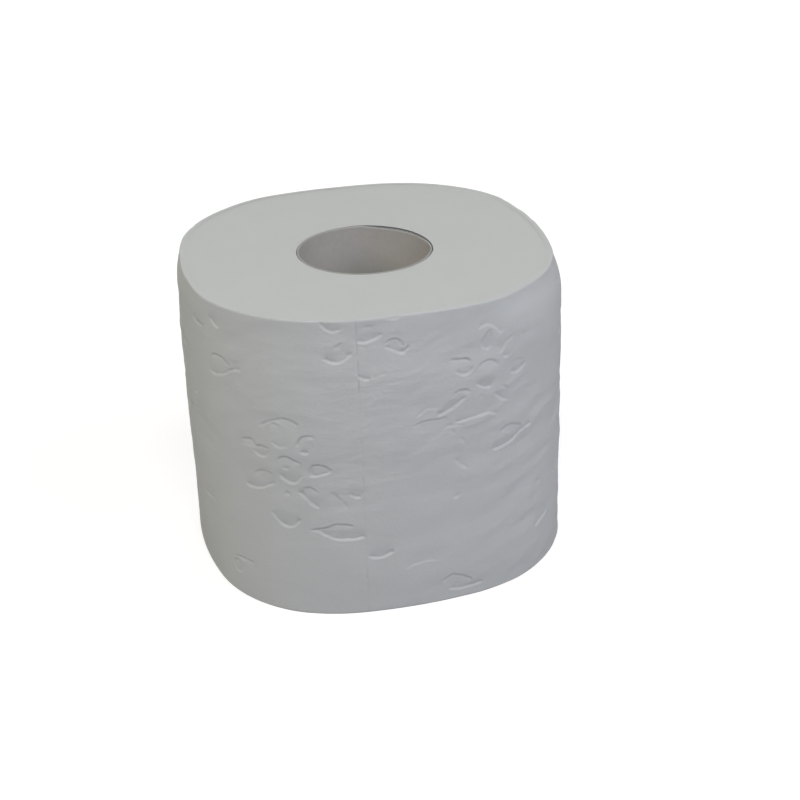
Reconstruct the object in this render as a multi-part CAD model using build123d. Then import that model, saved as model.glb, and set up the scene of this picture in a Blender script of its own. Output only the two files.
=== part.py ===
from build123d import *
from math import cos, pi, radians, sin
import os

# A roll of toilet paper that stands on its end: a cardboard tube with the sheet wound on it.
# The tube's axis is Z, and the roll stands on z = 0. Seen from above, -Y is the front.
# All lengths are in millimetres and all angles in degrees.

# The wound paper. Packing has pressed its round section into a soft square.
ROLL_HEIGHT = 95.0
ROLL_WIDTH = 114.9
ROLL_DEPTH = 113.4
CORNER_RADIUS = 44.0
SIDE_HALF_ANGLE = 12.0
FRONT_HALF_ANGLE = 7.0
SECTION_TURN = 13.5
SECTION_SHIFT = (0.3, 3.0)
RIM_BREAK = 0.7

# The cardboard tube, and how loosely the first turn of paper lies round it
TUBE_BORE = 41.0
TUBE_WALL = 0.7
TUBE_GAP = 0.06
PAPER_SLACK = 0.3
SLACK_BEARING = 45.0

# The sheet: its torn end laps over the turn below, on the side away from the front
# Places along the wall are measured to the right from the middle of the front side.
SHEET_LENGTH = 125.0
SHEET_STEP = 0.4
TEAR_LINE = -17.0
SLIT_LENGTH = 3.6
SLIT_PITCH = 6.0
SLIT_WIDTH = 0.3
SLIT_DEPTH = 0.4

# The turns that stand a little apart and show as a spiral line on both ends
OPEN_TURNS = 3
TURN_LINE_WIDTH = 0.35
TURN_LINE_DEPTH = 0.4
TURN_LINE_MARGIN = 3.0
STEPS_PER_TURN = 30

# The embossing: closed lines pressed into the outer turn, in the same group every PATTERN_WIDTH
PATTERN_WIDTH = 124.0
GROOVE_WIDTH = 1.0
GROOVE_DEPTH = 0.45
GROOVE_CLEARANCE = 2.0
SHAPE_SIDES = 7
FLOWER_EYE = 7.0
PETAL_LENGTH = 8.0
PETAL_WIDTH = 5.6
PETAL_GAP = 2.0
FLOWER_PETALS = 6
SMALL_FLOWER_PETALS = 5
# Each flower's place along the wall, height and turn
FLOWERS = [(-38.1, 48.9, 0.0)]
SMALL_FLOWERS = [
    (22.0, 70.5, 90.0),
    (-14.8, 82.0, 0.0),
]
# Each leaf's place along the wall, height, length, width and turn
LEAVES = [
    (-23.3, 29.0, 11.0, 5.4, 182.0),
    (29.2, 49.5, 11.0, 5.4, 0.0),
    (-59.6, 75.6, 11.0, 6.0, 6.0),
]


def side_radii():
    """The radii of the wide arcs at the sides and at the front, which meet the corner arcs."""
    side = radians(SIDE_HALF_ANGLE)
    front = radians(FRONT_HALF_ANGLE)
    reach_x = ROLL_WIDTH / 2 - CORNER_RADIUS * (cos(side) - sin(front))
    reach_y = ROLL_DEPTH / 2 - CORNER_RADIUS * (cos(front) - sin(side))
    share = sin(side) * sin(front) - (1 - cos(side)) * (1 - cos(front))
    side_radius = (reach_y * sin(front) - reach_x * (1 - cos(front))) / share
    front_radius = (reach_x * sin(side) - reach_y * (1 - cos(side))) / share
    return side_radius, front_radius


def section():
    """The section's outline, as arcs that run on smoothly from the middle of the front side.

    Each step of the walk is an arc's radius and the angle that it turns to the left.
    """
    side_radius, front_radius = side_radii()
    corner = (CORNER_RADIUS, 90 - SIDE_HALF_ANGLE - FRONT_HALF_ANGLE)
    side = (side_radius, 2 * SIDE_HALF_ANGLE)
    half_front = (front_radius, FRONT_HALF_ANGLE)
    heading = 0.0
    x, y = 0.0, -ROLL_DEPTH / 2
    arcs = []
    for radius, turned in [half_front, corner, side, corner, half_front] * 2:
        middle_x = x - radius * sin(radians(heading))
        middle_y = y + radius * cos(radians(heading))
        arcs.append(CenterArc((middle_x, middle_y), radius, heading - 90, turned).edge())
        heading += turned
        x = middle_x + radius * sin(radians(heading))
        y = middle_y - radius * cos(radians(heading))
    return Location((*SECTION_SHIFT, 0), (0, 0, SECTION_TURN)) * Wire(arcs)


OUTLINE = section()
GIRTH = OUTLINE.length


def wall_plane(place, height):
    """A plane on the wall: X runs to the right along it, Y up, and Z straight out."""
    share = (place % GIRTH) / GIRTH
    spot = OUTLINE.position_at(share)
    along = OUTLINE.tangent_at(share)
    return Plane(origin=(spot.X, spot.Y, height), x_dir=along, z_dir=along.cross(Vector(0, 0, 1)))


def lapped(block):
    """The block with the last sheet's end on it: past that end, the turn below lies lower.

    The step fades out over the next quarter turn.
    """
    end = wall_plane(TEAR_LINE + SHEET_LENGTH, ROLL_HEIGHT / 2)
    reach = ROLL_WIDTH + ROLL_DEPTH
    beyond = end * Box(reach, 2 * ROLL_HEIGHT, reach, align=(Align.MIN, Align.CENTER, Align.CENTER))
    lower = Pos(end.z_dir * -SHEET_STEP) * block
    return block - (beyond - lower)


def rounded(length, width, sharpness):
    """A closed shape with short straight sides, drawn out to a point on the right.

    With no sharpness it is an oval.
    """
    steps = [2 * pi * count / SHAPE_SIDES for count in range(SHAPE_SIDES)]
    rises = [sin(step) * sin(step / 2) ** sharpness for step in steps]
    crest = max(rises)
    spots = [(length / 2 * cos(step), width / 2 * rise / crest) for step, rise in zip(steps, rises)]
    return Polygon(*spots, align=None)


def line_of(length, width, sharpness):
    """A groove that follows a shape's edge: a band along its inside, as wide as the groove."""
    inner = rounded(length - 2 * GROOVE_WIDTH, width - 2 * GROOVE_WIDTH, sharpness)
    return rounded(length, width, sharpness) - inner


def pressed(drawing, place, height, turn=0.0):
    """The tool that presses a drawing's grooves into the wall, flat across its own width."""
    spot = wall_plane(place, height) * Pos(0, 0, -GROOVE_DEPTH) * Rot(0, 0, turn)
    return spot * extrude(drawing, GROOVE_DEPTH + GROOVE_CLEARANCE)


def flower(place, height, petals, turn):
    """The tools for a flower: a round eye with closed petals round it.

    A petal that would run off the edge of the sheet is left out.
    """
    eye = line_of(FLOWER_EYE, FLOWER_EYE, 0)
    petal = line_of(PETAL_LENGTH, PETAL_WIDTH, 1)
    tools = [pressed(eye, place, height)]
    reach = FLOWER_EYE / 2 + PETAL_GAP + PETAL_LENGTH / 2
    for count in range(petals):
        bearing = turn + 360 * count / petals
        across = reach * cos(radians(bearing))
        up = height + reach * sin(radians(bearing))
        if PETAL_LENGTH / 2 < up < ROLL_HEIGHT - PETAL_LENGTH / 2:
            tools.append(pressed(petal, place + across, up, bearing + 180))
    return tools


def embossing():
    """The tools for the whole pattern, all round the wall."""
    repeats = max(1, round(GIRTH / PATTERN_WIDTH))
    tools = []
    for count in range(repeats):
        shift = GIRTH * count / repeats
        for place, height, turn in FLOWERS:
            tools += flower(place + shift, height, FLOWER_PETALS, turn)
        for place, height, turn in SMALL_FLOWERS:
            tools += flower(place + shift, height, SMALL_FLOWER_PETALS, turn)
        for place, height, length, width, turn in LEAVES:
            tools.append(pressed(line_of(length, width, 1), place + shift, height, turn))
    return tools


def perforations():
    """The tools for the lines of short cuts that part one sheet from the next."""
    slit = Box(SLIT_WIDTH, SLIT_LENGTH, 2 * SLIT_DEPTH)
    count = int(ROLL_HEIGHT / SLIT_PITCH)
    first = (ROLL_HEIGHT - (count - 1) * SLIT_PITCH) / 2
    heights = [first + SLIT_PITCH * step for step in range(count)]
    return [
        wall_plane(line, height) * slit
        for line in (TEAR_LINE, TEAR_LINE - SHEET_LENGTH)
        for height in heights
    ]


def turn_line():
    """The tool for the spiral line between turns, cut into an end of the roll at z = 0.

    It runs out from beside the tube in short straight steps, and passes from the tube's round
    form to the outer one's.
    """
    inner_radius = TUBE_BORE / 2 + TUBE_WALL + TURN_LINE_MARGIN
    steps = OPEN_TURNS * STEPS_PER_TURN
    edges = []
    for side in (-TURN_LINE_WIDTH / 2, TURN_LINE_WIDTH / 2):
        spots = []
        for step in range(steps + 1):
            outer = OUTLINE.position_at(step / STEPS_PER_TURN % 1)
            spread = outer.length - TURN_LINE_MARGIN - inner_radius
            reach = inner_radius + spread * step / steps + side
            spots.append(outer.normalized() * reach)
        edges.append(spots)
    return extrude(Polygon(*edges[0], *reversed(edges[1]), align=None), TURN_LINE_DEPTH, both=True)


def cardboard_core():
    """The tube that the sheet is wound on."""
    bore = Circle(TUBE_BORE / 2)
    return extrude(Circle(TUBE_BORE / 2 + TUBE_WALL) - bore, ROLL_HEIGHT)


def paper_roll():
    """All turns of the sheet, as one block with a round hole that stands off the tube."""
    block = extrude(make_face(OUTLINE), ROLL_HEIGHT)
    rims = block.edges().group_by(Axis.Z)[0] + block.edges().group_by(Axis.Z)[-1]
    block = lapped(chamfer(rims, RIM_BREAK))
    slack = Vector(PAPER_SLACK, 0).rotate(Axis.Z, SLACK_BEARING)
    hole = Pos(slack) * Circle(TUBE_BORE / 2 + TUBE_WALL + TUBE_GAP + PAPER_SLACK)
    lines = [turn_line(), Pos(0, 0, ROLL_HEIGHT) * turn_line()]
    return block - extrude(hole, ROLL_HEIGHT) - embossing() - perforations() - lines


os.makedirs("parts", exist_ok=True)
export_step(cardboard_core(), "parts/cardboard_core.step")
export_step(paper_roll(), "parts/paper_roll.step")
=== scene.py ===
from math import cos, pi, radians, sin

import bpy
from mathutils import Matrix, Vector, noise


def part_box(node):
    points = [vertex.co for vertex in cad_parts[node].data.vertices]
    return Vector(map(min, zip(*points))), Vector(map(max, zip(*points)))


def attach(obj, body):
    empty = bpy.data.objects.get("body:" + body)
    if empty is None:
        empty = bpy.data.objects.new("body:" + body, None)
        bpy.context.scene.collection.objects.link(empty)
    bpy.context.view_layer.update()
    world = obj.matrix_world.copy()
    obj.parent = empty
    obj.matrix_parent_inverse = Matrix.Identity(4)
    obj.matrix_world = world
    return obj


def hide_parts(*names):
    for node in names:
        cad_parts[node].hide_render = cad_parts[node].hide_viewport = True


# A roll of embossed toilet paper on its end, wound on a cardboard tube.
# Lengths are in metres: a size in millimetres is written as 114.9 * MM. The tube's axis is Z, and
# -Y is the front. A bearing is an angle from +X towards +Y, seen from above. A spread is the two
# cosines, of the angle away from a bearing, between which something there grows to its full size.
# A zone is a stretch of the roll's height, as the shares of it where a change starts and ends.
MM = 0.001

# The section of the wound paper, a soft square of tangent arcs round the tube
ROLL_WIDTH = 114.9 * MM
ROLL_DEPTH = 113.4 * MM
CORNER_RADIUS = 44.0 * MM
SIDE_HALF_ANGLE = 12.0
FRONT_HALF_ANGLE = 7.0
SECTION_TURN = radians(13.5)
SECTION_SHIFT = Vector((0.3 * MM, 3.0 * MM, 0))
OUTLINE_STEP = 0.25 * MM

# The tube, with the seam that its inner strip leaves
TUBE_BORE_RADIUS = 20.0 * MM
TUBE_WALL = 0.5 * MM
TUBE_COLUMNS = 240
SEAM_LEAD = 78 * MM
SEAM_WIDTH = 0.45 * MM
SEAM_DEPTH = 0.16 * MM

# The paper's hole. At the back right its turns have curled off the tube, whose end lies lower.
HOLE_RADIUS = 20.8 * MM
HOLE_SHIFT = Vector((0.08 * MM, 0.08 * MM, 0))
GAP_DEPTH = 5.0 * MM
GAP_BEARING = radians(50)
GAP_SPREAD = (0.7, 0.95)
UNDERCUT = 0.4 * MM
UNDERCUT_DEPTH = 0.6 * MM
TUBE_DIP = 0.55 * MM

# The dent in the tube, and in the paper's hole with it
DENT = 0.6 * MM
DENT_BEARING = radians(45)
DENT_SPREAD = (0.6, 1.0)

# The sheet, measured to the right along the wall from the middle of the front side
SHEET_LENGTH = 125 * MM
SHEET_THICKNESS = 0.4 * MM
TEAR_LINE = -17.0 * MM
TAIL_OVERLAP = 0.8 * MM
TAIL_SAG = 0.2 * MM
TAIL_SAG_REACH = 7 * MM
# How much lower the turn under the torn end stands, for each unit that it lies deeper
LAP_DROP = 0.15
RIM_FOLD = 1.8 * MM
COLUMN_STEP = 0.42 * MM
ROW_STEP = 0.32 * MM

# The slits of the tear lines. They are nearly shut, and gape more in patches and near the top.
SLIT_PITCH = 6.0 * MM
SLIT_SHARE = 0.76
SLIT_FADE = 0.1
SLIT_DEPTH = 0.2 * MM
SLIT_HALF_WIDTH = 0.5 * MM
SLIT_SHUT = 0.1
SLIT_GAPE_UPPER = 0.49
SLIT_GAPE_PATCHES = 0.4
SLIT_GAPE_UPPER_PATCHES = 0.7
SLIT_UPPER_ZONE = (0.76, 0.9)
SLIT_PATCHES_PER_METRE = 150.0
SLIT_PATCH_EDGE = (-0.1, 0.4)

# The ends, where the turns' edges show
TURNS = 79
END_COLUMNS = 288
LINING_ROWS = 5
TURN_EDGE_DEPTH = 0.06 * MM
END_UNEVENNESS = 0.07 * MM
END_WAVES_PER_METRE = 60.0
RIM_SOFTNESS = 0.14 * MM
RIM_REACH = 0.9 * MM
SEAM_MERGE = 0.005 * MM

# Where the wall leans in, at its top and at its foot: each lean's bearing, how far in it goes,
# and how far from the end it starts
TOP_SLUMPS = [
    (radians(-18), 2.5 * MM, 13 * MM),
    (radians(163), 1.5 * MM, 9 * MM),
    (radians(-105), 1.3 * MM, 45 * MM),
]
FOOT_SLUMPS = [(radians(-62), 0.7 * MM, 20 * MM)]
SLUMP_SPREAD = (0.6, 0.97)

# The wrinkles of the outer turn. Waves are counted per metre, round the wall and up it, and a
# slope is how far a wrinkle drops for each metre to the right.
SWAY_WAVES = (60, 60)
SWAY = 3 * MM
BROAD_WAVES = (14, 30)
BROAD_RISE = 0.6 * MM
LEVEL_WAVES = (24, 100)
LEVEL_RISE = 0.42 * MM
SLOPING_WAVES = (32, 66)
SLOPING_SLOPE = 0.2
SLOPING_RISE = 0.4 * MM
SHORT_WAVES = (70, 190)
SHORT_SLOPE = -0.3
SHORT_RISE = 0.32 * MM
PUCKER_WAVES = (170, 540)
PUCKER_RISE = 0.04 * MM
CALM_AT_FOOT = 0.35
CALM_ZONE = (0.1, 0.7)

# Short wrinkles and puckers come in patches, which the level ones half leave free
PATCH_WAVES = (30, 30)
PATCH_EDGE = (-0.3, 0.4)
PATCH_LEVEL_LOSS = 0.5

# More of the short wrinkles cross the right side, where the sheet is pulled: they grow between
# these two places across. Puckers fade out between these two distances from a tear line.
PULLED_FROM = (15 * MM, 50 * MM)
PULLED_RISE = 0.3 * MM
PULLED_ZONE = (0.85, 0.6)
CRUMPLE_REACH = (4 * MM, 26 * MM)
CRUMPLE_RISE = 0.075 * MM
CRUMPLE_ZONE = (0.3, 0.6)

# The embossing
PATTERN_WIDTH = 124 * MM
GROOVE_DEPTH = 0.5 * MM
GROOVE_EDGE = 0.64 * MM
PILLOW_REACH = 4.5 * MM
CREASE_REACH = 1.6 * MM
CREASE_SHARE = 0.24
BLUR_STEPS = 14
BLUR_FROM = (0.4 * MM, 1.3 * MM)
LINE_WOBBLE = 0.6 * MM
LINE_WOBBLES_PER_METRE = 260.0
LINE_STEP = 0.3 * MM
TAPER_STEPS = 4
UNEVEN_PRESS = 0.35
UNEVEN_PRESS_SIZE = 3 * MM
REPEAT_SEED = 7.1

# The finishes, with colours as the screen shows them, from 0 to 255
PAPER_COLOUR = (193, 197, 197)
PAPER_SHADE = (185, 189, 189)
BLOTCHES_PER_METRE = 90.0
FIBRES_PER_METRE = 1200.0
FIBRE_STRETCH = 0.6
BOARD_COLOUR = (184, 183, 179)
BOARD_SHADE = (167, 165, 160)
# The colour of the tube's cut ends, between the paper's end and the hole: partly the raw board's
# own tone, partly painted shade for the rim
BOARD_CUT_EDGE_AND_PAINTED_SHADE = (156, 158, 156)
FLECKS_PER_METRE = 700.0
CLOUDS_PER_METRE = 70.0

# The photograph's camera, in its own 800 pixel frame
PHOTO_WIDTH = 800
FOCAL_PIXELS = 1600
SENSOR_WIDTH = 36
CAMERA_PLACE = Vector((-0.2, -455.0, 269.3)) * MM
CAMERA_HEADING = radians(1.2)
CAMERA_DOWN = radians(26.4)
CAMERA_ROLL = radians(1.8)

# The room's light, and how much of the floor's white is its own glow near the roll. Between the
# two distances of FLOOR_FADE the glow grows to all of it, so that only the near shadow shows.
AMBIENT = 0.1
ROOM_COLOUR = (1, 1, 1, 1)
FLOOR_SIZE = 6.0
FLOOR_COLOUR = (0.5, 0.5, 0.5, 1)
FLOOR_GLOW = 0.67
FLOOR_FADE = (0.2, 1.2)
# Each lamp's name, place, size, power in watts and colour
LAMPS = [
    ("lamp_back", (0.0, 1.3, 0.62), 0.9, 4.8, (1, 1, 1)),
    ("lamp_front", (0.0, -0.75, 1.2), 0.7, 6.4, (0.99, 1, 0.9)),
    ("lamp_low", (0.0, -1.2, 0.7), 0.7, 2.2, (0.58, 0.58, 1)),
    ("lamp_left", (-1.0, -0.45, 0.95), 0.9, 6.9, (1, 0.91, 0.76)),
    ("lamp_right", (1.0, -0.45, 0.95), 0.9, 8.6, (0.96, 0.93, 1)),
]

UP = Vector((0, 0, 1))

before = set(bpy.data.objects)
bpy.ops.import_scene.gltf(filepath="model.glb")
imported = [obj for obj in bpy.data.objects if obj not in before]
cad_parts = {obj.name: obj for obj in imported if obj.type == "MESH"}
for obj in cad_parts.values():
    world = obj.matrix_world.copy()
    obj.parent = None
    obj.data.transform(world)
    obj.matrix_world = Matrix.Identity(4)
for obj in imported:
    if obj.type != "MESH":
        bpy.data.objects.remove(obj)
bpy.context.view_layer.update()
roll_low, roll_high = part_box("paper_roll")
ROLL_HEIGHT = roll_high[2] - roll_low[2]


class Value:
    """An output of a node, on which arithmetic adds the Math nodes that do it."""

    def __init__(self, net, socket):
        self.net = net
        self.socket = socket

    def maths(self, operation, *others):
        """A Math node of this value and the others."""
        values = dict(enumerate((self, *others)))
        return self.net.node("ShaderNodeMath", {"operation": operation}, values)

    def vector(self, operation, *others, out=0):
        """A Vector Math node of this vector and the others."""
        values = dict(enumerate((self, *others)))
        return self.net.node("ShaderNodeVectorMath", {"operation": operation}, values, out)

    def scaled(self, factor):
        """This vector times a number."""
        return self.net.node("ShaderNodeVectorMath", {"operation": "SCALE"}, {0: self, 3: factor})

    def also(self, name):
        """Another output of the same node."""
        return Value(self.net, self.socket.node.outputs[name])

    def __add__(self, other):
        return self.maths("ADD", other)

    def __mul__(self, other):
        return self.maths("MULTIPLY", other)

    def __sub__(self, other):
        return self.maths("SUBTRACT", other)

    def __rsub__(self, other):
        return self * -1 + other

    def __truediv__(self, other):
        return self.maths("DIVIDE", other)

    def __pow__(self, other):
        return self.maths("POWER", other)

    __radd__ = __add__
    __rmul__ = __mul__

    def clamped(self, low, high):
        """This value, held between two others."""
        return self.maths("MAXIMUM", low).maths("MINIMUM", high)

    def ramp(self, low, high, start=0.0, end=1.0):
        """This value carried smoothly from low..high to start..end, and no further."""
        settings = {"interpolation_type": "SMOOTHSTEP"}
        values = {0: self, 1: low, 2: high, 3: start, 4: end}
        return self.net.node("ShaderNodeMapRange", settings, values)

    def facing(self, bearing, spread):
        """How much this direction faces a bearing: from 0 to 1, over the spread."""
        towards = Vector((cos(bearing), sin(bearing), 0))
        return self.vector("DOT_PRODUCT", towards, out="Value").ramp(*spread)


class Net:
    """A node tree while it is built."""

    def __init__(self, tree):
        self.tree = tree

    def node(self, kind, settings=None, values=None, out=0):
        """A new node: first its settings, then its sockets' values or links."""
        node = self.tree.nodes.new(kind)
        for name, setting in (settings or {}).items():
            setattr(node, name, setting)
        for name, value in (values or {}).items():
            if isinstance(value, Value):
                self.tree.links.new(value.socket, node.inputs[name])
            else:
                node.inputs[name].default_value = value
        return Value(self, node.outputs[out])

    def point(self, x, y, z):
        """A vector from its three parts."""
        return self.node("ShaderNodeCombineXYZ", values={0: x, 1: y, 2: z})

    def parts(self, vector):
        """A vector's three parts."""
        split = self.node("ShaderNodeSeparateXYZ", values={0: vector})
        return split, split.also("Y"), split.also("Z")

    def noise(self, vector, scale, detail=2.0, roughness=0.5):
        """Soft noise from -1 to 1."""
        values = {"Vector": vector, "Scale": scale, "Detail": detail, "Roughness": roughness}
        return self.node("ShaderNodeTexNoise", values=values) * 2 - 1


class Shaping(Net):
    """A Geometry Nodes tree with named inputs, which makes one piece's mesh."""

    KINDS = {float: "NodeSocketFloat", int: "NodeSocketInt"}

    def __init__(self, name, **values):
        super().__init__(bpy.data.node_groups.new(name, "GeometryNodeTree"))
        self.values = values
        sockets = self.tree.interface
        sockets.new_socket("Geometry", in_out="OUTPUT", socket_type="NodeSocketGeometry")
        self.keys = {}
        for key, value in values.items():
            kind = self.KINDS.get(type(value), "NodeSocketObject")
            socket = sockets.new_socket(self.title(key), in_out="INPUT", socket_type=kind)
            self.keys[key] = socket.identifier
        self.group_in = self.tree.nodes.new("NodeGroupInput")

    def title(self, key):
        """An input's name, as the modifier shows it."""
        return key.replace("_", " ").capitalize()

    def given(self, key):
        """The tree's own input of that name."""
        return Value(self, self.group_in.outputs[self.title(key)])

    def outline(self, key, **where):
        """A place on a closed curve that is given: (position, outward direction)."""
        source = {"Object": self.given(key)}
        curve = self.node("GeometryNodeObjectInfo", values=source, out="Geometry")
        settings = {"mode": "LENGTH" if "Length" in where else "FACTOR"}
        values = {"Curves": curve, **where}
        spot = self.node("GeometryNodeSampleCurve", settings, values, out="Position")
        outward = spot.also("Tangent").vector("CROSS_PRODUCT", UP).vector("NORMALIZE")
        return spot, outward

    def moved(self, geometry, position):
        """The geometry with its points at these positions."""
        values = {"Geometry": geometry, "Position": position}
        return self.node("GeometryNodeSetPosition", values=values)

    def stored(self, geometry, name, value, kind="FLOAT", domain="POINT"):
        """The geometry with a value kept on it under this name."""
        settings = {"data_type": kind, "domain": domain}
        values = {"Geometry": geometry, "Name": name, "Value": value}
        return self.node("GeometryNodeStoreNamedAttribute", settings, values)

    def piece(self, name, geometry, material, merge=0.0):
        """Ends the tree, and returns its result as a plain mesh object."""
        if merge:
            values = {0: geometry, "Distance": merge}
            geometry = self.node("GeometryNodeMergeByDistance", values=values)
        smooth = self.node("GeometryNodeSetShadeSmooth", values={0: geometry})
        real = self.node("GeometryNodeRealizeInstances", values={0: smooth})
        done = self.node("GeometryNodeSetMaterial", values={0: real, "Material": material})
        group_out = self.tree.nodes.new("NodeGroupOutput")
        self.tree.links.new(done.socket, group_out.inputs[0])
        base = bpy.data.objects.new(name, bpy.data.meshes.new(name + "_base"))
        bpy.context.collection.objects.link(base)
        modifier = base.modifiers.new("Shaping", "NODES")
        modifier.node_group = self.tree
        for key, value in self.values.items():
            modifier[self.keys[key]] = value
        evaluated = base.evaluated_get(bpy.context.evaluated_depsgraph_get())
        mesh = bpy.data.meshes.new_from_object(evaluated)
        base.modifiers.clear()
        base.data = mesh
        return base


def side_radii():
    """The radii of the wide arcs at the sides and at the front, which meet the corner arcs."""
    side = radians(SIDE_HALF_ANGLE)
    front = radians(FRONT_HALF_ANGLE)
    reach_x = ROLL_WIDTH / 2 - CORNER_RADIUS * (cos(side) - sin(front))
    reach_y = ROLL_DEPTH / 2 - CORNER_RADIUS * (cos(front) - sin(side))
    share = sin(side) * sin(front) - (1 - cos(side)) * (1 - cos(front))
    side_radius = (reach_y * sin(front) - reach_x * (1 - cos(front))) / share
    front_radius = (reach_x * sin(side) - reach_y * (1 - cos(side))) / share
    return side_radius, front_radius


def section_walk():
    """The outline's arcs from the middle of the front side, as (radius, angle turned)."""
    side_radius, front_radius = side_radii()
    corner = (CORNER_RADIUS, radians(90 - SIDE_HALF_ANGLE - FRONT_HALF_ANGLE))
    side = (side_radius, radians(2 * SIDE_HALF_ANGLE))
    half_front = (front_radius, radians(FRONT_HALF_ANGLE))
    return [half_front, corner, side, corner, half_front] * 2


GIRTH = sum(radius * turned for radius, turned in section_walk())


def wall_point(place):
    """The outline's point at this length along it, and the direction straight out of it."""
    place %= GIRTH
    heading = 0.0
    spot = Vector((0, -ROLL_DEPTH / 2, 0))
    for radius, turned in section_walk():
        length = radius * turned
        part = min(place, length) / radius
        middle = spot + radius * Vector((-sin(heading), cos(heading), 0))
        heading += part
        spot = middle + radius * Vector((sin(heading), -cos(heading), 0))
        place -= length
        if place <= 0:
            break
    turn = Matrix.Rotation(SECTION_TURN, 3, "Z")
    return turn @ spot + SECTION_SHIFT, turn @ Vector((sin(heading), -cos(heading), 0))


def closed_curve(name, spots):
    """A helper curve through these points, which is no piece of the roll."""
    curve = bpy.data.curves.new(name, "CURVE")
    curve.dimensions = "3D"
    spline = curve.splines.new("POLY")
    spline.points.add(len(spots) - 1)
    for point, spot in zip(spline.points, spots):
        point.co = (*spot, 1)
    spline.use_cyclic_u = True
    helper = bpy.data.objects.new(name, curve)
    bpy.context.collection.objects.link(helper)
    return helper


def outline_curve():
    """The section's outline as a closed curve."""
    count = round(GIRTH / OUTLINE_STEP)
    return closed_curve("outline", [wall_point(GIRTH * step / count)[0] for step in range(count)])


# The drawing of one group of the embossing, in millimetres along the wall and up it. Each line
# is its strength and the points that it runs through, with the pressed shape's inside on its
# left. A line that ends where it starts is a closed shape.
FLOWER_LEFT = [
    (0.9, [(-34.7, 51.0), (-36.3, 51.9), (-38.5, 52.9), (-40.6, 52.5), (-42.0, 51.3)]),
    (1.0, [(-41.8, 47.0), (-40.8, 45.4), (-38.2, 44.3), (-35.8, 45.0), (-34.6, 47.2)]),
    (0.6, [(-41.0, 49.2), (-39.6, 48.3), (-38.0, 49.2)]),
    (1.0, [(-32.2, 47.6), (-30.6, 46.9), (-28.3, 47.6), (-26.0, 49.1), (-28.0, 50.6),
           (-30.0, 51.1), (-31.9, 50.2), (-32.2, 47.6)]),
    (1.0, [(-30.2, 60.4), (-33.2, 60.0), (-35.0, 58.3), (-36.0, 56.6)]),
    (1.0, [(-35.2, 54.8), (-33.4, 54.1), (-31.8, 54.6)]),
    (0.4, [(-31.8, 54.6), (-30.9, 56.4), (-31.2, 58.4)]),
    (0.6, [(-34.4, 62.9), (-36.6, 64.6), (-39.8, 65.1), (-43.6, 63.6), (-47.4, 61.6)]),
    (0.6, [(-43.4, 57.0), (-42.6, 55.9), (-41.0, 55.2), (-38.4, 56.0)]),
    (0.5, [(-40.2, 62.0), (-42.0, 63.1), (-44.0, 62.4)]),
    (1.0, [(-44.4, 54.4), (-47.0, 55.0), (-48.6, 54.6), (-50.5, 56.4), (-54.0, 55.4)]),
    (1.0, [(-50.2, 52.8), (-48.2, 51.4), (-46.0, 51.6), (-44.2, 53.6)]),
    (1.2, [(-54.4, 40.6), (-52.0, 40.0), (-48.0, 40.6), (-43.2, 43.0)]),
    (0.7, [(-43.6, 45.6), (-46.0, 46.8), (-48.8, 46.2), (-50.6, 44.6)]),
    (1.1, [(-45.4, 33.4), (-43.2, 30.8), (-40.0, 29.4), (-37.4, 30.2), (-35.6, 32.4)]),
    (0.7, [(-38.4, 39.6), (-39.4, 41.0), (-40.8, 40.0)]),
    (1.2, [(-36.3, 41.5), (-33.4, 39.2), (-30.2, 36.2)]),
    (0.7, [(-30.2, 41.8), (-32.0, 43.2), (-34.8, 43.2)]),
    (0.55, [(-21.4, 36.8), (-23.4, 39.6), (-26.2, 42.2)]),
    (0.9, [(-21.6, 41.2), (-19.0, 39.9), (-17.2, 40.0)]),
    (0.9, [(-20.0, 30.5), (-22.4, 31.3), (-25.4, 31.4), (-28.6, 30.2), (-33.0, 29.4)]),
    (1.2, [(-33.2, 29.2), (-30.4, 28.8), (-28.2, 27.4), (-25.8, 26.3), (-21.0, 26.0),
           (-16.8, 26.5)]),
]
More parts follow.
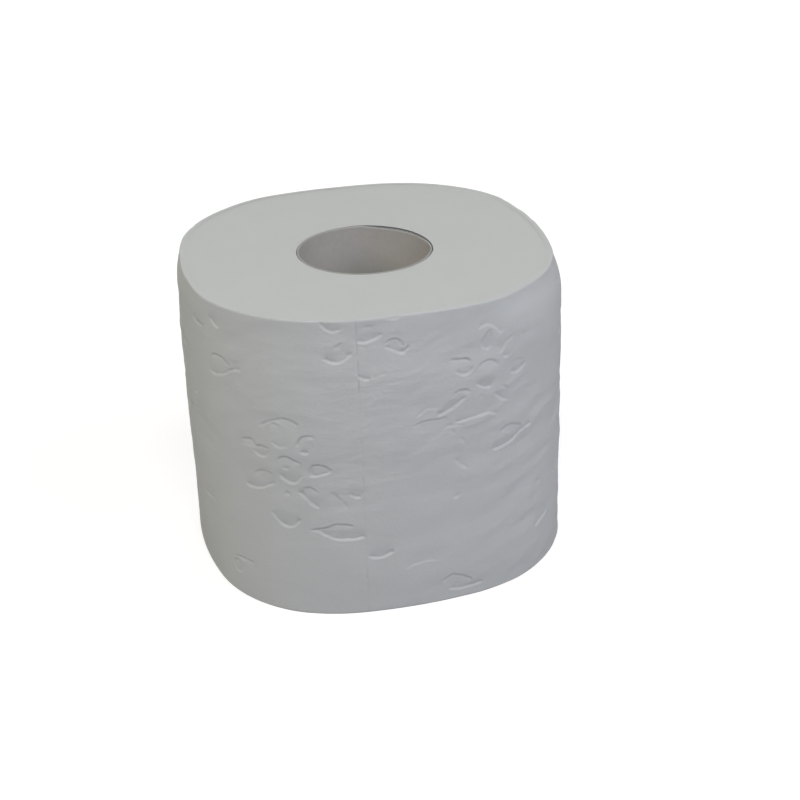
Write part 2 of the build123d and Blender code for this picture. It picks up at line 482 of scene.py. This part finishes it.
FLOWER_RIGHT = [
    (0.75, [(24.9, 75.2), (23.4, 76.9), (21.0, 77.4), (18.9, 76.6), (18.0, 75.2)]),
    (1.0, [(17.2, 70.8), (19.2, 69.4), (21.2, 69.0), (22.8, 69.4)]),
    (0.5, [(24.0, 72.0), (25.6, 72.6)]),
    (0.8, [(18.6, 87.6), (21.6, 88.2), (24.0, 86.8), (25.4, 84.4)]),
    (0.8, [(19.4, 82.2), (20.8, 80.7), (22.4, 81.5), (22.8, 84.0), (21.8, 86.6),
           (20.4, 85.2), (19.4, 82.2)]),
    (0.8, [(25.6, 77.4), (27.4, 76.9), (29.0, 77.4)]),
    (0.6, [(25.4, 78.6), (27.4, 80.8), (30.8, 82.9)]),
    (0.4, [(32.2, 82.8), (33.6, 82.0), (34.8, 82.8)]),
    (1.0, [(28.4, 71.8), (30.4, 70.9), (33.0, 71.3), (35.2, 72.5)]),
    (0.45, [(34.2, 73.8), (32.0, 75.0), (29.2, 74.6)]),
    (0.9, [(22.8, 66.8), (25.0, 64.4), (28.8, 62.6)]),
    (0.6, [(28.4, 66.2), (27.0, 68.0), (25.2, 68.4)]),
    (0.8, [(16.0, 68.8), (13.6, 69.9), (10.8, 69.4), (9.6, 68.4)]),
    (1.1, [(5.2, 63.0), (9.0, 64.0), (12.6, 66.0), (14.6, 67.2)]),
    (0.5, [(-0.8, 63.4), (2.2, 65.4), (5.8, 65.2)]),
    (0.5, [(8.4, 62.4), (3.6, 62.2), (-1.4, 61.4)]),
    (1.0, [(16.4, 78.0), (13.6, 79.4), (9.6, 79.6)]),
    (1.1, [(10.8, 76.4), (12.0, 74.9), (13.8, 74.2), (15.6, 74.8), (16.8, 76.4)]),
    (1.0, [(10.2, 59.5), (15.0, 60.0), (20.4, 60.6), (24.6, 59.4)]),
    (0.5, [(7.2, 58.6), (10.0, 59.0), (13.0, 58.4)]),
    (0.4, [(20.0, 66.2), (18.6, 67.2), (17.4, 65.4)]),
    (0.8, [(10.6, 48.0), (11.8, 46.0), (14.4, 44.1)]),
    (0.5, [(15.4, 51.0), (13.8, 53.4), (12.0, 55.0)]),
    (0.45, [(11.2, 56.8), (9.8, 57.8), (8.8, 58.1)]),
    (1.0, [(9.6, 35.8), (11.0, 35.1), (12.4, 36.4)]),
    (0.7, [(34.4, 52.4), (31.6, 54.0), (28.4, 54.8), (25.0, 53.9)]),
    (1.2, [(22.8, 48.4), (26.0, 48.1), (30.0, 49.2), (34.0, 51.2), (38.0, 52.0)]),
]
FLOWER_TOP = [
    (0.3, [(-14.2, 87.2), (-15.4, 87.5), (-16.6, 87.0)]),
    (0.7, [(-20.4, 88.6), (-22.0, 88.2), (-23.6, 86.8)]),
    (1.2, [(-27.0, 83.6), (-23.4, 82.4), (-20.4, 83.2), (-18.2, 85.2)]),
    (1.1, [(-27.6, 94.6), (-26.0, 92.6), (-23.6, 91.6), (-21.0, 92.4)]),
    (1.0, [(-17.0, 88.5), (-14.4, 87.8), (-11.4, 88.8), (-9.2, 90.0)]),
    (0.4, [(-11.6, 92.7), (-13.6, 93.0), (-15.6, 92.5)]),
    (0.8, [(-3.4, 85.6), (-4.4, 87.4), (-6.6, 88.2), (-9.2, 87.2)]),
    (1.2, [(-9.2, 86.0), (-6.4, 84.6), (-4.0, 83.5), (-1.6, 85.4)]),
    (0.9, [(-8.2, 94.4), (-6.2, 93.8), (-4.2, 94.4)]),
    (1.0, [(-17.6, 78.4), (-15.4, 76.9), (-13.0, 77.1)]),
    (0.4, [(-13.4, 77.2), (-11.0, 77.4), (-8.8, 78.2)]),
]
FLOWER_UPPER_LEFT = [
    (0.9, [(-56.6, 77.0), (-59.4, 78.6), (-62.6, 79.2), (-66.0, 78.4)]),
    (1.2, [(-67.4, 72.6), (-64.0, 72.4), (-60.0, 74.0), (-56.4, 76.0), (-52.6, 76.9)]),
    (1.2, [(-65.8, 90.4), (-64.4, 88.4), (-61.4, 87.4)]),
    (0.4, [(-59.6, 69.8), (-57.4, 70.6)]),
]
FLOWER_LOW = [
    (0.6, [(-62.2, 8.4), (-60.4, 7.2), (-58.2, 8.8), (-58.0, 11.0), (-60.0, 12.0),
           (-62.2, 10.8), (-62.2, 8.4)]),
    (0.7, [(-53.0, 13.8), (-58.0, 13.7), (-61.4, 12.8)]),
    (1.1, [(-16.6, 19.9), (-13.4, 18.8), (-10.4, 19.6), (-8.4, 20.7)]),
    (0.5, [(-5.0, 13.8), (-0.6, 15.5), (4.8, 15.2)]),
    (0.8, [(16.0, 5.4), (13.0, 7.9), (9.0, 9.0), (5.6, 7.4)]),
    (0.9, [(8.0, 4.0), (12.0, 3.2), (16.0, 3.2), (19.4, 3.6)]),
]
# The lines at the sides of the front group, which the other groups have no room for
OUTER_LINES = [
    (1.1, [(-78.6, 85.6), (-74.0, 85.0), (-69.4, 85.6)]),
    (0.5, [(-71.0, 86.8), (-74.0, 87.8), (-77.0, 86.8)]),
    (0.7, [(-81.0, 91.0), (-83.4, 91.4)]),
    (0.5, [(-83.4, 59.0), (-81.0, 60.0), (-79.0, 60.6)]),
    (0.8, [(-80.6, 25.8), (-76.0, 26.2), (-72.0, 27.0)]),
    (0.8, [(43.4, 30.3), (40.6, 31.6)]),
    (1.0, [(40.0, 15.2), (44.0, 16.0), (48.0, 17.6)]),
    (0.8, [(52.6, 28.4), (55.4, 26.8)]),
]
DRAWING = FLOWER_LEFT + FLOWER_RIGHT + FLOWER_TOP + FLOWER_UPPER_LEFT + FLOWER_LOW
# Each soft dome's place, height, reach and rise, in millimetres
DOMES = [
    (21.6, 73.4, 4.6, 0.25),
    (12.8, 52.4, 3.2, 0.3),
    (-38.4, 50.6, 4.0, 0.12),
]


def run_through(points):
    """A smooth line through the points, in steps of LINE_STEP."""
    points = [Vector((place, height, 0)) * MM for place, height in points]
    closed = points[0] == points[-1]
    before = points[-2] if closed else 2 * points[0] - points[1]
    after = points[1] if closed else 2 * points[-1] - points[-2]
    run = [before, *points, after]
    spots = [points[0]]
    for place in range(1, len(run) - 2):
        start, end = run[place], run[place + 1]
        leaving = (end - run[place - 1]) / 2
        arriving = (run[place + 2] - start) / 2
        count = max(1, round((end - start).length / LINE_STEP))
        for step in range(1, count + 1):
            part = step / count
            rest = 1 - part
            bent = start * (1 + 2 * part) * rest ** 2 + end * (3 - 2 * part) * part ** 2
            spots.append(bent + leaving * part * rest ** 2 - arriving * part ** 2 * rest)
    return spots, closed


def embossing_lines():
    """All the pattern's lines on the flat sheet, with the way to each one's inner side.

    The pattern runs on past both ends of the turn, so that a sheet may cross either of them.
    """
    spots = []
    edges = []
    inward = []
    strengths = []
    repeats = round(GIRTH / PATTERN_WIDTH)
    for repeat in range(-1, repeats + 1):
        shift = Vector((GIRTH * repeat / repeats, 0, 0))
        drawing = DRAWING if repeat % repeats else DRAWING + OUTER_LINES
        for number, (strength, points) in enumerate(drawing):
            line, closed = run_through(points)
            for step, spot in enumerate(line):
                way = line[min(step + 1, len(line) - 1)] - line[max(step - 1, 0)]
                seed = Vector((repeat * REPEAT_SEED, number, 0))
                uneven = 1 + UNEVEN_PRESS * noise.noise(spot / UNEVEN_PRESS_SIZE + seed)
                to_end = min(step, len(line) - 1 - step) + 0.5
                ends = 1 if closed else min(1, to_end / TAPER_STEPS)
                if step:
                    edges.append((len(spots) - 1, len(spots)))
                spots.append(spot + shift)
                inward.append(Vector((-way.y, way.x, 0)).normalized())
                strengths.append(strength * ends * uneven)
    mesh = bpy.data.meshes.new("embossing_lines")
    mesh.from_pydata(spots, edges, [])
    inner = mesh.attributes.new("inner_side", "FLOAT_VECTOR", "POINT")
    inner.data.foreach_set("vector", [part for side in inward for part in side])
    pressure = mesh.attributes.new("strength", "FLOAT", "POINT")
    pressure.data.foreach_set("value", strengths)
    helper = bpy.data.objects.new("embossing_lines", mesh)
    bpy.context.collection.objects.link(helper)
    return helper


def slump(outward, height):
    """How far the wall leans in at this height, on the sides that face a slump's bearing."""
    depth = 0.0
    for slumps, up in ((TOP_SLUMPS, height), (FOOT_SLUMPS, ROLL_HEIGHT - height)):
        for bearing, most, reach in slumps:
            lean = up.ramp(ROLL_HEIGHT - reach, ROLL_HEIGHT) ** 2
            depth = lean * outward.facing(bearing, SLUMP_SPREAD) * most + depth
    return depth


def rim_rounding(height):
    """How far the wall falls back where it nears either end."""
    top = height.ramp(ROLL_HEIGHT - RIM_REACH, ROLL_HEIGHT)
    bottom = height.ramp(0, RIM_REACH, 1, 0)
    return (top + bottom) ** 2 * RIM_SOFTNESS


def from_tear(place):
    """How far this place is from the nearest tear line."""
    along = ((place - TEAR_LINE) / SHEET_LENGTH + 0.5).maths("FRACT") - 0.5
    return (along * SHEET_LENGTH).maths("ABSOLUTE")


def zoned(height, zone, start=0.0, end=1.0):
    """A value that changes from start to end over a zone of the roll's height."""
    first, last = zone
    return height.ramp(first * ROLL_HEIGHT, last * ROLL_HEIGHT, start, end)


def wrinkles(net, spot, height, waves, detail=1.0, seed=(0, 0, 0)):
    """Soft noise over the wall, with this many waves a metre round it and up it."""
    around, up = waves
    x, y, _ = net.parts(spot)
    place = net.point(x * around, y * around, height * up)
    return net.noise(place.vector("ADD", Vector(seed)), 1.0, detail)


def creases(net, spot, place, height):
    """The soft wrinkles of the outer turn: long ones round it, sloping ones, and fine ones."""
    x, _, _ = net.parts(spot)
    swayed = height + wrinkles(net, spot, height, SWAY_WAVES) * SWAY
    broad = wrinkles(net, spot, height, BROAD_WAVES)
    level = wrinkles(net, spot, swayed, LEVEL_WAVES, detail=2.0)
    sloping = wrinkles(net, spot, swayed + x * SLOPING_SLOPE, SLOPING_WAVES, seed=(3, 0, 0))
    short = wrinkles(net, spot, swayed + x * SHORT_SLOPE, SHORT_WAVES)
    pucker = wrinkles(net, spot, swayed, PUCKER_WAVES, detail=2.0)
    patches = wrinkles(net, spot, height, PATCH_WAVES, seed=(0, 0, 5)).ramp(*PATCH_EDGE)
    pulled = x.ramp(*PULLED_FROM) * zoned(height, PULLED_ZONE)
    crumpled = from_tear(place).ramp(*CRUMPLE_REACH, 1, 0) * zoned(height, CRUMPLE_ZONE)
    long = level * (1 - patches * PATCH_LEVEL_LOSS) * LEVEL_RISE + sloping * SLOPING_RISE
    upper = (long + short * patches * SHORT_RISE) * zoned(height, CALM_ZONE, CALM_AT_FOOT)
    fine = pucker * (patches * PUCKER_RISE + crumpled * CRUMPLE_RISE)
    return broad * BROAD_RISE + upper + short * pulled * PULLED_RISE + fine


def press(net, place, height):
    """How hard the pattern is pressed in at a point of the flat sheet.

    The sheet steps down over a line to its inner side, and rises slowly from there, as a pillow.
    """
    source = {"Object": net.given("lines")}
    lines = net.node("GeometryNodeObjectInfo", values=source, out="Geometry")
    flat = net.point(place, height, 0.0)
    wobble_x = net.noise(flat, LINE_WOBBLES_PER_METRE) * LINE_WOBBLE
    wobble_y = net.noise(net.point(place, height, 1.0), LINE_WOBBLES_PER_METRE) * LINE_WOBBLE
    flat = net.point(place + wobble_x, height + wobble_y, 0.0)
    settings = {"target_element": "EDGES"}
    values = {"Geometry": lines, "Sample Position": flat}
    nearest = net.node("GeometryNodeProximity", settings, values, out="Position")
    index = net.node("GeometryNodeSampleNearest", values={0: lines, "Sample Position": nearest})

    def sampled(name, kind):
        settings = {"data_type": kind}
        attribute = net.node("GeometryNodeInputNamedAttribute", settings, {"Name": name})
        values = {0: lines, "Value": attribute, "Index": index}
        return net.node("GeometryNodeSampleIndex", settings, values)

    away = flat.vector("SUBTRACT", nearest)
    inside = away.vector("DOT_PRODUCT", sampled("inner_side", "FLOAT_VECTOR"), out="Value")
    depth_inside = nearest.also("Distance") * inside.maths("SIGN")
    edge = depth_inside.ramp(-GROOVE_EDGE / 2, GROOVE_EDGE / 2)
    pillow = (1 - depth_inside / PILLOW_REACH).clamped(0.0, 1.0)
    crease = (1 - depth_inside / CREASE_REACH).clamped(0.0, 1.0) ** 2
    pillow = pillow * (1 - CREASE_SHARE) + crease * CREASE_SHARE
    sharp = edge * pillow * sampled("strength", "FLOAT")
    soft = net.node("GeometryNodeBlurAttribute", values={0: sharp, "Iterations": BLUR_STEPS})
    return sharp + (soft - sharp) * nearest.also("Distance").ramp(*BLUR_FROM)


def domes(net, place, height):
    """How far the soft domes between the pressed lines stand out."""
    period = GIRTH / round(GIRTH / PATTERN_WIDTH)
    out = 0.0
    for middle, up, reach, rise in DOMES:
        across = (place - (middle * MM - period / 2)).maths("FLOORED_MODULO", period) - period / 2
        away = net.point(across, height - up * MM, 0.0).vector("LENGTH", out="Value")
        out = away.ramp(0, reach * MM, rise * MM, 0) + out
    return out


def slits(net, place, height):
    """How far the wall falls back at the short cuts of the tear lines."""
    across = from_tear(place).ramp(0, SLIT_HALF_WIDTH, 1, 0)
    beat = (height / SLIT_PITCH).maths("FRACT")
    cut = beat.ramp(0, SLIT_FADE) * beat.ramp(SLIT_SHARE, SLIT_SHARE + SLIT_FADE, 1, 0)
    upper = zoned(height, SLIT_UPPER_ZONE)
    patches = net.noise(net.point(place, height, 0.0), SLIT_PATCHES_PER_METRE, detail=1.0)
    patches = patches.ramp(*SLIT_PATCH_EDGE)
    gape = upper * SLIT_GAPE_UPPER + SLIT_SHUT
    gape = gape + (upper * SLIT_GAPE_UPPER_PATCHES + SLIT_GAPE_PATCHES) * patches
    return across * cut * gape * SLIT_DEPTH


def outer_sheet(name, outline, lines, start, end, material, lap=0.0, end_fold=0.0):
    """One sheet of the outer turn, wrapped from a flat grid with the pattern pressed in.

    Its top and bottom edges are folded in by RIM_FOLD, and its end by end_fold. On the side of
    the sheet's torn end it lies deeper by lap.
    """
    tail_out = wall_point(TEAR_LINE + SHEET_LENGTH)[1]
    net = Shaping(
        name,
        outline=outline,
        lines=lines,
        start=start,
        length=end - start,
        height=ROLL_HEIGHT,
        rim_fold=RIM_FOLD,
        groove_depth=GROOVE_DEPTH,
        lap=lap,
        end_fold=end_fold,
        columns=round((end - start) / COLUMN_STEP),
        rows=round((ROLL_HEIGHT + 2 * RIM_FOLD) / ROW_STEP),
    )
    sizes = {
        0: net.given("length") + net.given("end_fold"),
        1: net.given("height") + net.given("rim_fold") * 2,
        2: net.given("columns"),
        3: net.given("rows"),
    }
    grid = net.node("GeometryNodeMeshGrid", values=sizes)
    x, y, _ = net.parts(net.node("GeometryNodeInputPosition"))
    run = x + (net.given("length") + net.given("end_fold")) * 0.5
    rise = y + net.given("height") * 0.5
    along = run.clamped(0.0, net.given("length"))
    height = rise.clamped(0.0, net.given("height"))
    fold = (rise - height).maths("ABSOLUTE").maths("MAXIMUM", run - along)
    place = along + net.given("start")
    spot, outward = net.outline("outline", Length=place.maths("FLOORED_MODULO", GIRTH))
    pressed = press(net, place, height)
    near_tail = outward.vector("DOT_PRODUCT", tail_out, out="Value").maths("MAXIMUM", 0.0)
    lower = near_tail * net.given("lap")
    inset = pressed * net.given("groove_depth") + slits(net, place, height) + lower + fold
    inset = inset + slump(outward, height) + rim_rounding(height)
    if end_fold:
        inset = inset + (net.given("length") - along).ramp(0, TAIL_SAG_REACH, TAIL_SAG, 0)
    lift = creases(net, spot, place, height) + domes(net, place, height) - inset
    wrapped = spot.vector("ADD", outward.scaled(lift))
    z = (height - lower * LAP_DROP).maths("MAXIMUM", 0.0)
    wrapped = wrapped.vector("ADD", net.point(0.0, 0.0, z))
    sheet = net.stored(grid, "UVMap", net.point(place, height, 0.0), "FLOAT2", "CORNER")
    return net.piece(name, net.moved(sheet, wrapped), material)


def turn_edges(name, outline, material):
    """All the inner turns as one block: both ends with the turns' edges, and the hole's wall."""
    net = Shaping(
        name,
        outline=outline,
        turns=TURNS,
        columns=END_COLUMNS,
        hole_radius=HOLE_RADIUS,
        height=ROLL_HEIGHT,
        set_in=RIM_FOLD - SHEET_THICKNESS,
        edge_depth=TURN_EDGE_DEPTH,
    )
    # Rows 0 to 2 * turns + 2 make the top end, and as many more the bottom end, back inwards.
    # The last LINING_ROWS line the hole, whose first turns have curled off the tube: an undercut
    # and a ledge at the bottom, a ledge and an undercut at the top, and the top edge.
    end_rows = net.given("turns") * 2 + 3
    sizes = {0: 1.0, 1: 1.0, 2: net.given("columns") + 1, 3: end_rows * 2 + LINING_ROWS}
    grid = net.node("GeometryNodeMeshGrid", values=sizes)
    x, y, _ = net.parts(net.node("GeometryNodeInputPosition"))
    share = x + 0.5
    row = ((y + 0.5) * (end_rows * 2 + (LINING_ROWS - 1))).maths("ROUND")
    upper_lining = row.maths("GREATER_THAN", end_rows * 2 + 1.5)
    below = row.maths("GREATER_THAN", end_rows - 0.5) * (1 - upper_lining)
    own_row = (row - end_rows * below) * (1 - upper_lining)
    from_ledges = (row - end_rows * 2 - 1.5).maths("ABSOLUTE")
    ledge = from_ledges.maths("LESS_THAN", 1.0)
    undercut = from_ledges.maths("LESS_THAN", 2.0) - ledge
    spiral = (own_row * 0.5 + share - 1) / net.given("turns")
    level = spiral.clamped(0.0, 1.0)
    level = level * (1 - below) + (1 - level) * below
    spot, outward = net.outline("outline", Factor=share)
    ridge = own_row.maths("MODULO", 2.0) * net.given("edge_depth")
    set_in = slump(outward, net.given("height") * (1 - below)) + net.given("set_in")
    outer = spot.vector("ADD", outward.scaled(set_in * -1))
    radial = outer.vector("NORMALIZE")
    dent = radial.facing(DENT_BEARING, DENT_SPREAD) * DENT
    curled = undercut * radial.facing(GAP_BEARING, GAP_SPREAD) * UNDERCUT
    inner = radial.scaled(net.given("hole_radius") + curled - dent).vector("ADD", HOLE_SHIFT)
    tight = radial.scaled(TUBE_BORE_RADIUS + TUBE_WALL / 2 - dent)
    settings = {"data_type": "VECTOR"}
    inner = net.node("ShaderNodeMix", settings, {0: ledge, 4: inner, 5: tight}, out=1)
    flat = net.node("ShaderNodeMix", settings, {0: level, 4: inner, 5: outer}, out=1)
    x, y, _ = net.parts(flat)
    uneven = net.noise(net.point(x, y, 0.0), END_WAVES_PER_METRE, detail=3.0, roughness=0.6)
    uneven = uneven * END_UNEVENNESS
    down = ridge - uneven + END_UNEVENNESS + ledge * GAP_DEPTH + undercut * UNDERCUT_DEPTH
    z = (net.given("height") - down) * (1 - below) + down * below
    body = net.moved(grid, net.point(x, y, z))
    return net.piece(name, body, material, merge=SEAM_MERGE)


def tube(name, material):
    """The cardboard tube, whose inner strip leaves a fine seam that climbs round the bore."""
    length = 2 * (ROLL_HEIGHT + TUBE_WALL)
    net = Shaping(
        name,
        bore_radius=TUBE_BORE_RADIUS,
        wall=TUBE_WALL,
        height=ROLL_HEIGHT,
        seam_lead=SEAM_LEAD,
        seam_width=SEAM_WIDTH,
        seam_depth=SEAM_DEPTH,
        columns=TUBE_COLUMNS + 1,
        rows=round(length / TUBE_WALL) + 1,
    )
    height = net.given("height")
    wall = net.given("wall")
    sizes = {0: 1.0, 1: 1.0, 2: net.given("columns"), 3: net.given("rows")}
    grid = net.node("GeometryNodeMeshGrid", values=sizes)
    x, y, _ = net.parts(net.node("GeometryNodeInputPosition"))
    share = x + 0.5
    run = (y + 0.5) * length
    up = run.clamped(0.0, height)
    out = (run - height).clamped(0.0, wall)
    down = (run - height - wall).clamped(0.0, height)
    back = (run - height * 2 - wall).clamped(0.0, wall)
    z = up - down
    thick = out - back
    climb = (z / net.given("seam_lead") - share).maths("FRACT") - 0.5
    gap = (climb * net.given("seam_lead")).maths("ABSOLUTE").ramp(0, net.given("seam_width"), 1, 0)
    inner_side = 1 - (thick / wall).ramp(0, 0.5)
    radius = net.given("bore_radius") + thick + gap * inner_side * net.given("seam_depth")
    turn = share * 2 * pi
    around = net.point(turn.maths("COSINE"), turn.maths("SINE"), 0.0)
    dip = around.facing(GAP_BEARING, GAP_SPREAD) * TUBE_DIP
    z = z * (1 - dip / height)
    # Rows lie a wall's thickness apart, so each cut end has two: its inner and its outer edge.
    rows_past_rim = (run + wall * 1.5).maths("FLOORED_MODULO", height + wall) / wall
    # This marks the cut ends, which the cardboard paints darker, partly as painted shade
    body = net.stored(grid, "cut_edge", rows_past_rim.maths("LESS_THAN", 2.0))
    dent = around.facing(DENT_BEARING, DENT_SPREAD) * DENT
    place = around.scaled(radius - dent).vector("ADD", net.point(0.0, 0.0, z))
    body = net.moved(body, place)
    return net.piece(name, body, material, merge=SEAM_MERGE)


def new_material(name):
    """A new material: its net, and its main shader node."""
    material = bpy.data.materials.new(name)
    material.use_nodes = True
    net = Net(material.node_tree)
    return material, net, material.node_tree.nodes["Principled BSDF"]


def mixed(net, share, first, second):
    """A colour between the first one and the second."""
    settings = {"data_type": "RGBA"}
    return net.node("ShaderNodeMix", settings, {0: share, 6: first, 7: second}, out=2)


def finish(net, shader, tint, relief, strength, depth, roughness, sheen):
    """Gives a material its colour, its fine relief and its sheen."""
    values = {"Strength": strength, "Distance": depth, "Height": relief}
    bump = net.node("ShaderNodeBump", values=values)
    net.tree.links.new(tint.socket, shader.inputs["Base Color"])
    net.tree.links.new(bump.socket, shader.inputs["Normal"])
    shader.inputs["Roughness"].default_value = roughness
    shader.inputs["Specular IOR Level"].default_value = sheen


def tissue(name):
    """Matt tissue: a fibrous surface with soft blotches."""
    material, net, shader = new_material(name)
    spot = net.node("ShaderNodeTexCoord", out="Object")
    blotch = net.noise(spot, BLOTCHES_PER_METRE, detail=4.0, roughness=0.6)
    x, y, z = net.parts(spot)
    stretched = net.point(x * FIBRE_STRETCH, y * FIBRE_STRETCH, z)
    fibre = net.noise(stretched, FIBRES_PER_METRE, detail=3.0, roughness=0.7)
    dark = (blotch * 0.25 + 0.3).clamped(0.0, 1.0)
    tint = mixed(net, dark, from_screen(*PAPER_COLOUR), from_screen(*PAPER_SHADE))
    finish(net, shader, tint, fibre, strength=0.5, depth=0.1 * MM, roughness=0.95, sheen=0.15)
    return material


def board(name):
    """Grey recycled board: flecks, clouds and a slight sheen, and a cut edge that is darker partly
    in its own tone and partly as painted shade.
    """
    material, net, shader = new_material(name)
    spot = net.node("ShaderNodeTexCoord", out="Object")
    fleck = net.noise(spot, FLECKS_PER_METRE, detail=5.0, roughness=0.7)
    cloud = net.noise(spot, CLOUDS_PER_METRE, detail=3.0)
    dark = (fleck * 0.5 + cloud * 0.5 + 0.5).clamped(0.0, 1.0)
    tint = mixed(net, dark, from_screen(*BOARD_COLOUR), from_screen(*BOARD_SHADE))
    # Painted shade, partly the raw cut's own tone: the tube's cut ends take a darker colour
    edge = net.node("ShaderNodeAttribute", {"attribute_name": "cut_edge"}, out="Fac")
    tint = mixed(net, edge, tint, from_screen(*BOARD_CUT_EDGE_AND_PAINTED_SHADE))
    finish(net, shader, tint, fleck, strength=0.3, depth=0.05 * MM, roughness=0.8, sheen=0.3)
    return material


def from_screen(red, green, blue):
    """A colour as the screen shows it, from 0 to 255, as the shader's own numbers."""
    def linear(value):
        value /= 255
        return value / 12.92 if value <= 0.04045 else ((value + 0.055) / 1.055) ** 2.4
    return (linear(red), linear(green), linear(blue), 1)


def seen_by_eye(net):
    """1 for what the camera sees straight, in a gloss or through glass."""
    path = net.node("ShaderNodeLightPath", out="Is Camera Ray")
    seen = path.maths("MAXIMUM", path.also("Is Glossy Ray"))
    return seen.maths("MAXIMUM", path.also("Is Transmission Ray"))


def place_camera():
    """The photograph's camera, as fitted to the roll's outline."""
    camera = bpy.data.objects.new("camera", bpy.data.cameras.new("camera"))
    bpy.context.collection.objects.link(camera)
    camera.data.sensor_width = SENSOR_WIDTH
    camera.data.lens = SENSOR_WIDTH * FOCAL_PIXELS / PHOTO_WIDTH
    level = Vector((cos(CAMERA_HEADING), -sin(CAMERA_HEADING), 0))
    ahead = Vector((sin(CAMERA_HEADING), cos(CAMERA_HEADING), 0)) * cos(CAMERA_DOWN)
    ahead.z = -sin(CAMERA_DOWN)
    right = Matrix.Rotation(CAMERA_ROLL, 3, ahead) @ level
    above = right.cross(ahead)
    turned = Matrix((right, above, -ahead)).transposed()
    camera.matrix_world = Matrix.Translation(CAMERA_PLACE) @ turned.to_4x4()
    bpy.context.scene.camera = camera


def lamp(name, place, size, power, colour):
    """A square soft lamp that points at the middle of the roll."""
    light = bpy.data.lights.new(name, "AREA")
    light.size = size
    light.energy = power
    light.color = colour
    holder = bpy.data.objects.new(name, light)
    bpy.context.collection.objects.link(holder)
    aim = Vector((0, 0, ROLL_HEIGHT / 2)) - Vector(place)
    holder.location = place
    holder.rotation_euler = aim.to_track_quat("-Z", "Y").to_euler()


def studio():
    """A white room with soft lamps all round, and a pale floor that keeps the roll's shadow."""
    world = bpy.data.worlds.new("room")
    bpy.context.scene.world = world
    world.use_nodes = True
    net = Net(world.node_tree)
    background = world.node_tree.nodes["Background"]
    background.inputs["Color"].default_value = ROOM_COLOUR
    strength = seen_by_eye(net) * (1 - AMBIENT) + AMBIENT
    net.tree.links.new(strength.socket, background.inputs["Strength"])
    for settings in LAMPS:
        lamp(*settings)
    mesh = bpy.data.meshes.new("floor")
    half = FLOOR_SIZE / 2
    corners = [(-half, -half, 0), (half, -half, 0), (half, half, 0), (-half, half, 0)]
    mesh.from_pydata(corners, [], [(0, 1, 2, 3)])
    floor = bpy.data.objects.new("floor", mesh)
    bpy.context.collection.objects.link(floor)
    material, net, shader = new_material("floor")
    shader.inputs["Base Color"].default_value = FLOOR_COLOUR
    shader.inputs["Roughness"].default_value = 1
    shader.inputs["Specular IOR Level"].default_value = 0
    away = net.node("ShaderNodeTexCoord", out="Object").vector("LENGTH", out="Value")
    white = away.ramp(*FLOOR_FADE, FLOOR_GLOW, 1.0)
    glow = net.node("ShaderNodeEmission", values={"Color": white})
    total = net.node("ShaderNodeAddShader")
    net.tree.links.new(shader.outputs[0], total.socket.node.inputs[0])
    net.tree.links.new(glow.socket, total.socket.node.inputs[1])
    shown = net.node("ShaderNodeMixShader", values={0: seen_by_eye(net)})
    net.tree.links.new(shader.outputs[0], shown.socket.node.inputs[1])
    net.tree.links.new(total.socket, shown.socket.node.inputs[2])
    net.tree.links.new(shown.socket, net.tree.nodes["Material Output"].inputs["Surface"])
    mesh.materials.append(material)


paper = tissue("paper")
cardboard = board("cardboard")
outline = outline_curve()
lines = embossing_lines()
tail = TEAR_LINE + SHEET_LENGTH
second_tear = TEAR_LINE - SHEET_LENGTH + GIRTH
under_tail = tail - TAIL_OVERLAP
sheets = [
    outer_sheet("last_sheet", outline, lines, TEAR_LINE, tail, paper, end_fold=SHEET_THICKNESS),
    outer_sheet(
        "sheet_under_tail", outline, lines, under_tail, second_tear, paper, lap=SHEET_THICKNESS),
    outer_sheet("middle_sheet", outline, lines, second_tear, TEAR_LINE + GIRTH, paper),
]
block = turn_edges("inner_turns", outline, paper)
core = tube("tube", cardboard)
for helper in (outline, lines):
    bpy.data.objects.remove(helper)

for piece in (*sheets, block):
    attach(piece, "root")
    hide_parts("paper_roll")
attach(core, "root")
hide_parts("cardboard_core")

place_camera()
studio()
bpy.context.scene.view_settings.view_transform = "Standard"
